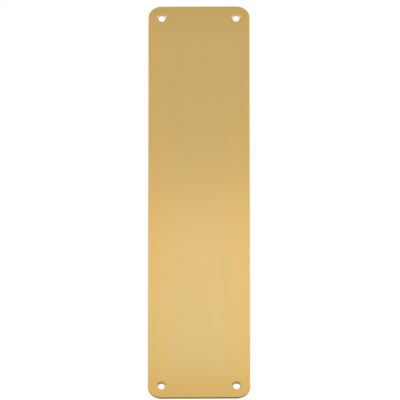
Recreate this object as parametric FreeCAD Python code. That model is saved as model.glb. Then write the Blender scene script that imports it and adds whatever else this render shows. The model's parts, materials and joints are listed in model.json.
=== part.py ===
import FreeCAD
import Part
import math
import os

from FreeCAD import Vector

# Door finger plate: one flat blank of sheet brass, screwed upright to the face of a door.
# X runs across the plate, Z runs up it, and -Y points out of the door, towards the hand.
# The origin is the centre of the back face, which lies on the door in the plane Y = 0.

# Driving dimensions, in millimetres and degrees
plate_width = 75.0
plate_length = 350.0
plate_thickness = 1.5
corner_radius = 10.0
front_edge_radius = 0.35    # easing of the edge round the front face; the back edge stays square
hole_side_inset = 10.0      # from a hole's centre to the long edge beside it
hole_end_inset = 10.5       # from a hole's centre to the end of the plate
hole_diameter = 5.2         # clearance for the shank of the screw
countersink_width = 1.0     # of the cone's ring, seen from the front
countersink_angle = 90.0    # across the whole cone, as the screw's head has it
lip_radius = 0.2            # where the front face turns into the countersink

# Directions and planes that follow from the frame
into_door = Vector(0, 1, 0)
back_face_y = 0.0
front_face_y = back_face_y - plate_thickness
mid_plane_y = (front_face_y + back_face_y) / 2

# Sizes that follow from the driving ones
hole_radius = hole_diameter / 2
mouth_radius = hole_radius + countersink_width
countersink_slope = math.tan(math.radians(countersink_angle / 2))
hole_x = plate_width / 2 - hole_side_inset
hole_z = plate_length / 2 - hole_end_inset

same_plane = 1e-6           # two heights nearer than this are one plane


def edges_centred_at(shape, y):
    """The edges whose middle lies in the plane at this Y."""
    return [edge for edge in shape.Edges if abs(edge.CenterOfMass.y - y) < same_plane]


def make_blank():
    """The flat blank, cut to length with rounded corners and an eased edge round its front."""
    sheet = Part.makeBox(plate_width, plate_thickness, plate_length,
                         Vector(-plate_width / 2, front_face_y, -plate_length / 2))
    through_corners = edges_centred_at(sheet, mid_plane_y)
    rounded = sheet.makeFillet(corner_radius, through_corners)
    front_rim = edges_centred_at(rounded, front_face_y)
    return rounded.makeFillet(front_edge_radius, front_rim)


def make_screw_hole(x, z):
    """The drill and the countersink bit at one hole, as the solid that they clear away.

    Both start one thickness of the plate clear of its front. The drill leaves the back by as
    much, and the countersink runs on to its point, inside the drill.
    """
    start = Vector(x, front_face_y - plate_thickness, z)
    drill = Part.makeCylinder(hole_radius, 3 * plate_thickness, start, into_door)
    bit_radius = mouth_radius + plate_thickness * countersink_slope
    bit = Part.makeCone(bit_radius, 0, bit_radius / countersink_slope, start, into_door)
    return drill.fuse(bit)


def make_finger_plate():
    """The blank with a countersunk hole in each corner, the lips softened as the face is brushed."""
    holes = [make_screw_hole(x, z) for x in (-hole_x, hole_x) for z in (-hole_z, hole_z)]
    drilled = make_blank().cut(holes)
    lips = [edge for edge in edges_centred_at(drilled, front_face_y) if edge.isClosed()]
    return drilled.makeFillet(lip_radius, lips)


os.makedirs("parts", exist_ok=True)
finger_plate = make_finger_plate().Solids[0]
finger_plate.exportStep("parts/finger_plate.step")
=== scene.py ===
import json
import math
import bmesh
import bpy
import numpy as np
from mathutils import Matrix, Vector


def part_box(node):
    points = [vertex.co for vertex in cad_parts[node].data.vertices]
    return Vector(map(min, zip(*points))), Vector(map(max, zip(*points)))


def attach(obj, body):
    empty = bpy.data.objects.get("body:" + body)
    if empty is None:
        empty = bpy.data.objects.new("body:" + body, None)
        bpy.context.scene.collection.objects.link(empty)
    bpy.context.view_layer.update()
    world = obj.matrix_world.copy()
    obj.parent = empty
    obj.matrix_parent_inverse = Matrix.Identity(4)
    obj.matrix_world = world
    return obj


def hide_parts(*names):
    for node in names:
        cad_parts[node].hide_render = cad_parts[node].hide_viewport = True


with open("model.json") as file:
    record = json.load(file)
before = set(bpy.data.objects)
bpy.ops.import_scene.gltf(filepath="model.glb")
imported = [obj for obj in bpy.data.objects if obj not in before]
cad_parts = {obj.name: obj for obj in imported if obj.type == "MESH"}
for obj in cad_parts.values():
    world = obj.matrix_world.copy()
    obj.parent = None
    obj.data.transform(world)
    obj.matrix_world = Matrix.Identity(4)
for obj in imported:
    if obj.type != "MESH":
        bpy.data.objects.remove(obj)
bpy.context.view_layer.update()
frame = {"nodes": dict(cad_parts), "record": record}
print("frame loaded:", list(frame["nodes"]))

plateNode = "finger_plate"
millimetre = 0.001

# Sizes that neither the plate's node nor its screw mount gives, in metres, and how finely
# the surfaces are divided. The outline, thickness and holes are read from the frame below.
plateForm = {
    "cornerRadius": 10 * millimetre,
    "frontEasing": 0.35 * millimetre,       # quarter round along the front edge
    "easingFlat": 0.12 * millimetre,        # strip of face that keeps the round's shading off it
    "countersinkWidth": 1.0 * millimetre,   # ring of the cone, seen from the front
    "countersinkDepth": 1.0 * millimetre,
    "rimBreak": 0.08 * millimetre,          # softened lip, to each side of the countersink's mouth
    "arcSteps": 32,                         # in one rounded corner
    "sideSteps": 12,                        # along one outer side of a corner cell
    "ringSteps": 8,                         # from a hole out to the edge of its corner cell
    "ringCrowding": 1.5,                    # above 1, these steps are closer together near the hole
    "rimSteps": 4,
    "coneSteps": 5,
    "gridStride": 2.5 * millimetre,         # of the flat faces between the corner cells
    "easingSteps": 8,
    "wallSteps": 3,
    "weldDistance": 0.002 * millimetre,
    "sharpAngle": 35,                       # degrees; sharper edges stay crisp
}

plateLow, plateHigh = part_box(plateNode)
halfWidth = (plateHigh.x - plateLow.x) / 2
halfLength = (plateHigh.z - plateLow.z) / 2
frontY, backY = plateLow.y, plateHigh.y
screwMount = next(m for m in frame["record"]["mounts"] if m["kind"] == "bolt_pattern")
holeRadius = screwMount["dims"]["hole_r_mm"] * millimetre
holeX = screwMount["dims"]["spacing_x_mm"] / 2 * millimetre
holeZ = screwMount["dims"]["spacing_y_mm"] / 2 * millimetre
cellReach = plateForm["cornerRadius"]       # a corner cell reaches this far all round its centre
cornerX, cornerZ = halfWidth - cellReach, halfLength - cellReach
cornerSigns = np.array([[1, 1], [-1, 1], [-1, -1], [1, -1]])    # of x and z, anticlockwise
gridSteps = {
    "across": round(2 * (cornerX - cellReach) / plateForm["gridStride"]),
    "along": round(2 * (cornerZ - cellReach) / plateForm["gridStride"]),
}


def run(start, end, steps):
    # evenly spaced points from start towards end, without end itself
    return np.linspace(start, end, steps, endpoint=False)


def quadsOf(rows, columns):
    # one quad between each grid point and its next neighbours; it faces along row x column
    index = np.arange(rows * columns).reshape(rows, columns)
    return np.stack([index[:-1, :-1], index[1:, :-1], index[1:, 1:], index[:-1, 1:]], -1).reshape(-1, 4)


def quarterTurn(plan, count):
    # plan points (x, z) turned about the origin by so many right angles
    c, s = round(math.cos(count * math.pi / 2)), round(math.sin(count * math.pi / 2))
    return plan @ np.array([[c, s], [-s, c]])


def flatGrid(plan, y, finish):
    # plan points (x, z) laid at one depth; the map runs u across the grain (x), v along it (z)
    points = np.stack([plan[..., 0], np.full(plan.shape[:-1], y), plan[..., 1]], -1)
    return {"points": points, "map": plan, "finish": finish}


def cellOutline(reach):
    # Boundary of a corner cell about its centre, anticlockwise: a quarter circle of radius reach,
    # then straight sides at reach (the two outer sides) and at minus cellReach (the inner two).
    form = plateForm
    angle = run(0, math.pi / 2, form["arcSteps"])
    corners = [(0, reach), (-cellReach, reach), (-cellReach, -cellReach), (reach, -cellReach), (reach, 0)]
    steps = np.array([1, 2, 2, 1]) * form["sideSteps"]
    sides = [run(a, b, n) for a, b, n in zip(corners, corners[1:], steps)]
    loop = np.concatenate([reach * np.stack([np.cos(angle), np.sin(angle)], -1)] + sides)
    return np.concatenate([loop, loop[:1]])


def holeDirections():
    # Unit vectors out from a hole's axis, one for each point of a cell's outline. The rings on both
    # faces and the wall of the hole share them, so that their points meet.
    outline = cellOutline(cellReach)
    return outline / np.linalg.norm(outline, axis=-1, keepdims=True)


def cellRing(reach, radius, hole):
    # Flat ring round a hole, whose place in the cell is given: circle * (1 - t) + outline * t,
    # with t raised to a power so that the rings lie closer together near the hole.
    outline = cellOutline(reach)
    circle = hole + radius * holeDirections()
    t = np.linspace(0, 1, plateForm["ringSteps"] + 1)[:, None, None] ** plateForm["ringCrowding"]
    return circle * (1 - t) + outline * t


def holeWall():
    # The hole's half section turned about its axis: point = radius(profile) * (cos, sin)(angle).
    # From the front the section is a small rounded rim, the cone, and the straight bore.
    form = plateForm
    mouth = holeRadius + form["countersinkWidth"]
    slope = np.array([-form["countersinkWidth"], form["countersinkDepth"]])
    slope = slope / np.linalg.norm(slope)
    corner = np.array([mouth, frontY])
    rimStart, rimEnd = corner + [form["rimBreak"], 0], corner + slope * form["rimBreak"]
    t = run(0, 1, form["rimSteps"])[:, None]
    rim = rimStart * (1 - t) ** 2 + corner * 2 * t * (1 - t) + rimEnd * t ** 2
    coneEnd = (holeRadius, frontY + form["countersinkDepth"])
    cone = run(rimEnd, coneEnd, form["coneSteps"])
    bore = np.linspace(coneEnd, (holeRadius, backY), form["wallSteps"] + 1)
    section = np.concatenate([rim, cone, bore])
    direction = holeDirections()
    angle = np.unwrap(np.arctan2(direction[:, 1], direction[:, 0]))
    plan = direction[:, None, :] * section[None, :, :1]
    y = np.broadcast_to(section[None, :, 1], plan.shape[:2])
    slant = np.concatenate([[0], np.cumsum(np.linalg.norm(np.diff(section, axis=0), axis=-1))])
    across, along = np.broadcast_arrays(slant[None, :], angle[:, None] * holeRadius)
    return plan, y, np.stack([across, along], -1)


def outlinePath(reach):
    # The whole outline, anticlockwise, as a path with its outward normals: at each corner an arc
    # of radius reach, then the straight run to the next corner, cut where the flat faces' grids
    # meet it.
    form = plateForm
    angle = run(0, math.pi / 2, form["arcSteps"])
    arc = np.stack([np.cos(angle), np.sin(angle)], -1)
    sides = [(cornerX, "across"), (cornerZ, "along")] * 2
    places, normals = [], []
    for k, (half, name) in enumerate(sides):
        normal = quarterTurn(arc, k)
        centre = cornerSigns[k] * [cornerX, cornerZ]
        straight = np.concatenate([
            run(half, half - cellReach, form["sideSteps"]),
            run(half - cellReach, cellReach - half, gridSteps[name]),
            run(cellReach - half, -half, form["sideSteps"]),
        ])
        depth = (cornerZ if name == "across" else cornerX) + reach
        side = quarterTurn(np.stack([straight, np.full(straight.shape, depth)], -1), k)
        places += [centre + reach * normal, side]
        normals += [normal, np.broadcast_to(quarterTurn(np.array([0.0, 1.0]), k), side.shape)]
    place, normal = np.concatenate(places), np.concatenate(normals)
    return np.concatenate([place, place[:1]]), np.concatenate([normal, normal[:1]])


def edgeBand(place, normal, offset, y):
    # a profile of (offset outwards, depth) carried along the outline
    plan = place[None] + normal[None] * offset[:, None, None]
    depth = np.broadcast_to(y[:, None], plan.shape[:2])
    points = np.stack([plan[..., 0], depth, plan[..., 1]], -1)
    length = np.concatenate([[0], np.cumsum(np.linalg.norm(np.diff(place, axis=0), axis=-1))])
    across, along = np.broadcast_arrays(y[:, None], length[None])
    return points, np.stack([across, along], -1), plan


def plateGrids():
    form = plateForm
    easing, flat = form["frontEasing"], form["easingFlat"]
    frontReach = cellReach - easing - flat
    mouth = holeRadius + form["countersinkWidth"] + form["rimBreak"]
    grids = []

    # corner cells: the front ring, the wall of the hole and the back ring, turned to each corner
    wallPlan, wallY, wallMap = holeWall()
    for k, sign in enumerate(cornerSigns):
        centre, holeCentre = sign * [cornerX, cornerZ], sign * [holeX, holeZ]
        hole = quarterTurn(holeCentre - centre, -k)
        frontRing, backRing = cellRing(frontReach, mouth, hole), cellRing(cellReach, holeRadius, hole)
        grids.append(flatGrid(quarterTurn(frontRing, k) + centre, frontY, "satinFace"))
        grids.append(flatGrid((quarterTurn(backRing, k) + centre).swapaxes(0, 1), backY, "rolledBack"))
        plan = quarterTurn(wallPlan, k) + holeCentre
        points = np.stack([plan[..., 0], wallY, plan[..., 1]], -1)
        grids.append({"points": points, "map": wallMap, "finish": "turnedHole"})

    # flat faces between the cells: a strip at each end and the long body
    for reach, y, finish in ((frontReach, frontY, "satinFace"), (cellReach, backY, "rolledBack")):
        innerX, innerZ = cornerX - cellReach, cornerZ - cellReach
        cell = np.linspace(-cellReach, reach, 2 * form["sideSteps"] + 1)
        middle = np.linspace(-innerX, innerX, gridSteps["across"] + 1)
        across = np.concatenate([-cornerX - cell[:0:-1], middle, cornerX + cell[1:]])
        along = np.linspace(-innerZ, innerZ, gridSteps["along"] + 1)
        for xs, zs in ((across, along), (middle, cornerZ + cell), (middle, -cornerZ - cell[::-1])):
            plan = np.stack(np.meshgrid(xs, zs, indexing="ij"), -1)
            grids.append(flatGrid(plan if y == frontY else plan.swapaxes(0, 1), y, finish))

    # the edge: a quarter round at the front, then the square wall down to the back
    place, normal = outlinePath(frontReach)
    turn = np.linspace(0, math.pi / 2, form["easingSteps"] + 1)
    offset = np.concatenate([[0], flat + easing * np.sin(turn)])
    y = np.concatenate([[frontY], frontY + easing * (1 - np.cos(turn))])
    points, _, plan = edgeBand(place, normal, offset, y)
    grids.append({"points": points, "map": plan, "finish": "satinFace"})
    y = np.linspace(frontY + easing, backY, form["wallSteps"] + 1)
    points, band, _ = edgeBand(place, normal, np.full(y.shape, flat + easing), y)
    grids.append({"points": points, "map": band, "finish": "cutEdge"})
    return grids


def weldedPlate(name, grids, finishes):
    # all grids in one mesh, with the points that neighbours share welded into one closed skin
    form, order = plateForm, list(finishes)
    sizes = [g["points"].shape[0] * g["points"].shape[1] for g in grids]
    starts = np.concatenate([[0], np.cumsum(sizes)[:-1]])
    quads = [quadsOf(*g["points"].shape[:2]) + start for g, start in zip(grids, starts)]
    finish = np.concatenate([np.full(len(q), order.index(g["finish"])) for q, g in zip(quads, grids)])
    points = np.concatenate([g["points"].reshape(-1, 3) for g in grids])
    maps = np.concatenate([g["map"].reshape(-1, 2) for g in grids])
    corners = np.concatenate(quads)
    mesh = bpy.data.meshes.new(name)
    mesh.from_pydata(points, [], corners)
    for material in finishes.values():
        mesh.materials.append(material)
    mesh.polygons.foreach_set("material_index", finish.astype(np.int32))
    mesh.uv_layers.new(name="grainMap").uv.foreach_set("vector", maps[corners].astype(np.float32).ravel())
    shell = bmesh.new()
    shell.from_mesh(mesh)
    bmesh.ops.remove_doubles(shell, verts=shell.verts, dist=form["weldDistance"])
    openEdges = sum(not edge.is_manifold for edge in shell.edges)
    volume = shell.calc_volume(signed=True) / millimetre ** 3
    print("plate volume mm3:", round(volume, 1), "open edges:", openEdges)
    shell.to_mesh(mesh)
    shell.free()
    mesh.shade_smooth()
    mesh.set_sharp_from_angle(angle=math.radians(form["sharpAngle"]))
    plate = bpy.data.objects.new(name, mesh)
    bpy.context.collection.objects.link(plate)
    return plate


# Brass finishes. Each has its tone and how far the brushing shifts it, its roughness, the size of its
# fine grain and its broad streaks in millimetres (across, along), how deep the grain is cut, and the
# lacquer over it. u of the map runs across the grain and v along it, so one set of nodes serves all four.
brassFinishes = {
    "satinFace": {"tone": (0.54, 0.3635, 0.112), "shift": 0.05, "roughness": 0.318,
                  "grain": (0.22, 30), "streaks": (1.6, 170), "grainDepth": 0.0004,
                  "anisotropy": 0.5, "coat": 1.0, "coatRoughness": 0.22,
                  # edges where the face's colour carries a painted fall-off of its lacquer sheen, warmer
                  # and deeper towards them
                  "paintedSheenEdges": ["left", "right", "top", "bottom"]},
    "cutEdge": {"tone": (0.45, 0.32, 0.125), "shift": 0.08, "roughness": 0.40,
                "grain": (0.12, 6), "streaks": (0.5, 25), "grainDepth": 0.0006,
                "anisotropy": 0.4, "coat": 0.3, "coatRoughness": 0.25},
    "turnedHole": {"tone": (0.50, 0.37, 0.17), "shift": 0.05, "roughness": 0.30,
                   "grain": (0.10, 12), "streaks": (0.4, 12), "grainDepth": 0.0006,
                   "anisotropy": 0.9, "coat": 0.3, "coatRoughness": 0.2},
    "rolledBack": {"tone": (0.53, 0.36, 0.12), "shift": 0.16, "roughness": 0.40,
                   "grain": (0.35, 60), "streaks": (2.4, 200), "grainDepth": 0.0006,
                   "anisotropy": 0.3, "coat": 0.2, "coatRoughness": 0.3},
}
# What all four share, in the noises that draw their grain and streaks
brushForm = {
    "grainDetail": 3.0,
    "streakDetail": 2.0,
    "breakUp": 0.6,         # how strongly the finer octaves of both noises show
    "usual": (0.3, 0.7),    # range that their mix mostly keeps to
    "glossSwing": 0.04,     # of the roughness each way, over that range
}
# Painted fall-off of the pale sheen that the lacquer mirrors from the key light. Towards each edge of the
# face the base colour is made warmer and deeper, and at the top and bottom also darker, as if the sheen
# thinned out there. For each edge the table gives along which way of the map the edge lies, towards which
# end and how far out, how far in from it the painted fall-off reaches, and the tint at the edge.
paintedSheenTints = {
    "left": {"axis": "X", "towards": -1, "edge": halfWidth, "reach": 22 * millimetre,
             "paintedTint": (1.045, 0.99, 0.84)},
    "right": {"axis": "X", "towards": 1, "edge": halfWidth, "reach": 22 * millimetre,
              "paintedTint": (1.04, 1.0, 0.85)},
    "top": {"axis": "Y", "towards": 1, "edge": halfLength, "reach": 35 * millimetre,
            "paintedTint": (0.945, 0.92, 0.755)},
    "bottom": {"axis": "Y", "towards": -1, "edge": halfLength, "reach": 40 * millimetre,
               "paintedTint": (1.015, 0.93, 0.68)},
}


def stretchedNoise(nodes, links, grainMap, size, detail):
    # noise drawn out along the grain: one cell is size[0] across and size[1] along, in millimetres
    lay = nodes.new("ShaderNodeMapping")
    lay.inputs["Scale"].default_value = (1 / (size[0] * millimetre), 1 / (size[1] * millimetre), 1)
    noise = nodes.new("ShaderNodeTexNoise")
    noise.noise_dimensions = "2D"
    noise.inputs["Scale"].default_value = 1.0
    noise.inputs["Detail"].default_value = detail
    noise.inputs["Roughness"].default_value = brushForm["breakUp"]
    links.new(grainMap.outputs["UV"], lay.inputs["Vector"])
    links.new(lay.outputs["Vector"], noise.inputs["Vector"])
    return noise.outputs["Fac"]


def nearEdge(nodes, links, grainMap, sheenEdge):
    # 0 inside the face, rising smoothly to 1 at one of its edges
    edge, reach, towards = sheenEdge["edge"], sheenEdge["reach"], sheenEdge["towards"]
    split = nodes.new("ShaderNodeSeparateXYZ")
    rise = nodes.new("ShaderNodeMapRange")
    rise.interpolation_type = "SMOOTHSTEP"
    rise.inputs["From Min"].default_value = towards * (edge - reach)
    rise.inputs["From Max"].default_value = towards * edge
    links.new(grainMap.outputs["UV"], split.inputs["Vector"])
    links.new(split.outputs[sheenEdge["axis"]], rise.inputs["Value"])
    return rise.outputs["Result"]


def toneMix(nodes, links, factor, low, high, blend="MIX"):
    # two colours blended, each given as a tone or as the socket that supplies it
    mix = nodes.new("ShaderNodeMix")
    mix.data_type = "RGBA"
    mix.blend_type = blend
    links.new(factor, mix.inputs["Factor"])
    for name, tone in (("A", low), ("B", high)):
        if isinstance(tone, tuple):
            mix.inputs[name].default_value = tone + (1,)
        else:
            links.new(tone, mix.inputs[name])
    return mix.outputs["Result"]


def brassMaterial(name):
    finish = brassFinishes[name]
    material = bpy.data.materials.new(name)
    material.use_nodes = True
    nodes, links = material.node_tree.nodes, material.node_tree.links
    shader = nodes["Principled BSDF"]
    shader.inputs["Metallic"].default_value = 1.0
    shader.inputs["Anisotropic"].default_value = finish["anisotropy"]
    shader.inputs["Coat Weight"].default_value = finish["coat"]
    shader.inputs["Coat Roughness"].default_value = finish["coatRoughness"]

    grainMap = nodes.new("ShaderNodeUVMap")
    grainMap.uv_map = "grainMap"
    grain = stretchedNoise(nodes, links, grainMap, finish["grain"], brushForm["grainDetail"])
    streaks = stretchedNoise(nodes, links, grainMap, finish["streaks"], brushForm["streakDetail"])
    brushed = nodes.new("ShaderNodeMix")            # half fine grain, half broad streaks
    links.new(grain, brushed.inputs["A"])
    links.new(streaks, brushed.inputs["B"])
    brushing = brushed.outputs["Result"]

    levels = (1 - finish["shift"], 1 + finish["shift"])
    dark, light = (tuple(level * c for c in finish["tone"]) for level in levels)
    tone = toneMix(nodes, links, brushing, dark, light)
    # painted sheen fall-off: near each listed edge the colour is multiplied by a warmer, deeper tint in
    # place of the key light's reflection thinning out there
    for sheenEdge in (paintedSheenTints[place] for place in finish.get("paintedSheenEdges", [])):
        near = nearEdge(nodes, links, grainMap, sheenEdge)
        tone = toneMix(nodes, links, near, tone, sheenEdge["paintedTint"], "MULTIPLY")
    links.new(tone, shader.inputs["Base Color"])

    gloss = nodes.new("ShaderNodeMapRange")
    gloss.inputs["From Min"].default_value, gloss.inputs["From Max"].default_value = brushForm["usual"]
    gloss.inputs["To Min"].default_value = finish["roughness"] - brushForm["glossSwing"]
    gloss.inputs["To Max"].default_value = finish["roughness"] + brushForm["glossSwing"]
    links.new(brushing, gloss.inputs["Value"])
    links.new(gloss.outputs["Result"], shader.inputs["Roughness"])

    bump = nodes.new("ShaderNodeBump")
    bump.inputs["Distance"].default_value = finish["grainDepth"] * millimetre
    links.new(grain, bump.inputs["Height"])
    links.new(bump.outputs["Normal"], shader.inputs["Normal"])

    acrossGrain = nodes.new("ShaderNodeTangent")
    acrossGrain.direction_type = "UV_MAP"
    acrossGrain.uv_map = "grainMap"
    links.new(acrossGrain.outputs["Tangent"], shader.inputs["Tangent"])
    return material


plate = weldedPlate("satin_plate", plateGrids(), {name: brassMaterial(name) for name in brassFinishes})
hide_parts(plateNode)
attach(plate, "root")
print("plate made:", len(plate.data.polygons), "quads")

# Camera: the plate is seen from the front and from below, from so far that it hardly tapers
view = {
    "azimuth": 0.3,
    "elevation": -34.6,
    "distance": 13.095,
    "lens": 1600.0,
    "shift": (0.0025, 0.0040),
    "farthest": 100,
}


def makeCamera():
    azimuth, elevation = math.radians(view["azimuth"]), math.radians(view["elevation"])
    back = Vector((math.sin(azimuth) * math.cos(elevation),
                   -math.cos(azimuth) * math.cos(elevation), math.sin(elevation)))
    data = bpy.data.cameras.new("viewCamera")
    data.lens = view["lens"]
    data.shift_x, data.shift_y = view["shift"]
    data.clip_end = view["farthest"]
    camera = bpy.data.objects.new("viewCamera", data)
    camera.location = back * view["distance"]
    camera.rotation_mode = "QUATERNION"
    camera.rotation_quaternion = (-back).to_track_quat("-Z", "Y")
    bpy.context.collection.objects.link(camera)
    bpy.context.scene.camera = camera


makeCamera()
print("camera set")

# Floor: a pale sheet just under the plate's lower edge. It fades out into the white all round,
# and is open to the eye from below.
floorForm = {"drop": 0.4 * millimetre, "half": 2.0, "fadeFrom": 0.1, "fadeTo": 1.5, "tone": 0.70}


def makeFloor():
    half, z = floorForm["half"], plateLow.z - floorForm["drop"]
    mesh = bpy.data.meshes.new("paleFloor")
    corners = np.array([[-half, -half, z], [half, -half, z], [half, half, z], [-half, half, z]])
    mesh.from_pydata(corners, [], [(0, 1, 2, 3)])
    material = bpy.data.materials.new("paleFloor")
    material.use_nodes = True
    nodes, links = material.node_tree.nodes, material.node_tree.links
    nodes.remove(nodes["Principled BSDF"])
    paint = nodes.new("ShaderNodeBsdfDiffuse")
    paint.inputs["Color"].default_value = (floorForm["tone"],) * 3 + (1,)
    clear = nodes.new("ShaderNodeBsdfTransparent")
    place = nodes.new("ShaderNodeTexCoord")
    radius = nodes.new("ShaderNodeVectorMath")
    radius.operation = "LENGTH"
    fade = nodes.new("ShaderNodeMapRange")
    fade.interpolation_type = "SMOOTHSTEP"
    fade.inputs["From Min"].default_value = floorForm["fadeFrom"]
    fade.inputs["From Max"].default_value = floorForm["fadeTo"]
    side = nodes.new("ShaderNodeNewGeometry")
    hidden = nodes.new("ShaderNodeMath")
    hidden.operation = "MAXIMUM"
    blend = nodes.new("ShaderNodeMixShader")
    links.new(place.outputs["Object"], radius.inputs[0])
    links.new(radius.outputs["Value"], fade.inputs["Value"])
    links.new(fade.outputs["Result"], hidden.inputs[0])
    links.new(side.outputs["Backfacing"], hidden.inputs[1])
    links.new(hidden.outputs["Value"], blend.inputs["Fac"])
    links.new(paint.outputs["BSDF"], blend.inputs[1])
    links.new(clear.outputs["BSDF"], blend.inputs[2])
    links.new(blend.outputs["Shader"], nodes["Material Output"].inputs["Surface"])
    mesh.materials.append(material)
    floor = bpy.data.objects.new("paleFloor", mesh)
    bpy.context.collection.objects.link(floor)


makeFloor()

# Light: an even white surround, and soft boxes that the plate mirrors. The key is a cool daylight, with
# a narrow warm strip above it.
surround = {"strength": 1.0}
faceMirrors = (0, -0.825, 0.565)    # direction in which the camera looks once the front face mirrors it
softBoxes = {
    # name: place to aim at, direction it shines from, distance, width, height, radiance, tone
    "keyBox": {"aim": (0.03, 0, -0.10), "from": faceMirrors, "distance": 0.5,
               "width": 0.20, "height": 0.126, "radiance": 0.76, "tone": (0.85, 0.93, 1)},
    "warmBox": {"aim": (0.01, 0, -0.019), "from": faceMirrors, "distance": 0.5,
                "width": 0.20, "height": 0.034, "radiance": 0.6, "tone": (1, 0.6, 0.38)},
    "leftBox": {"aim": (0, -0.13, 0.225), "from": (-1, 0, 0), "distance": 0.4,
                "width": 0.32, "height": 0.51, "radiance": 1.3, "tone": (1, 1, 1)},
    "rightBox": {"aim": (0, -0.13, 0.225), "from": (1, 0, 0), "distance": 0.4,
                 "width": 0.32, "height": 0.51, "radiance": 1.3, "tone": (1, 1, 1)},
    "lowBox": {"aim": (0, -0.26, -0.165), "from": (0, 0, -1), "distance": 0.005,
               "width": 0.70, "height": 0.22, "radiance": 0.7, "tone": (1, 1, 1)},
}


def makeLight():
    world = bpy.data.worlds.new("whiteSurround")
    world.use_nodes = True
    background = world.node_tree.nodes["Background"]
    background.inputs["Color"].default_value = (1, 1, 1, 1)
    background.inputs["Strength"].default_value = surround["strength"]
    bpy.context.scene.world = world
    for name, box in softBoxes.items():
        data = bpy.data.lights.new(name, "AREA")
        data.shape = "RECTANGLE"
        data.color = box["tone"]
        data.size, data.size_y = box["width"], box["height"]
        data.energy = box["radiance"] * math.pi * box["width"] * box["height"]  # power for this radiance
        lamp = bpy.data.objects.new(name, data)
        source = Vector(box["from"]).normalized()
        lamp.location = Vector(box["aim"]) + source * box["distance"]
        lamp.rotation_mode = "QUATERNION"
        lamp.rotation_quaternion = (-source).to_track_quat("-Z", "Y")
        lamp.visible_camera = False
        bpy.context.collection.objects.link(lamp)


makeLight()
bpy.context.scene.view_settings.view_transform = "Standard"
print("stage and light set")
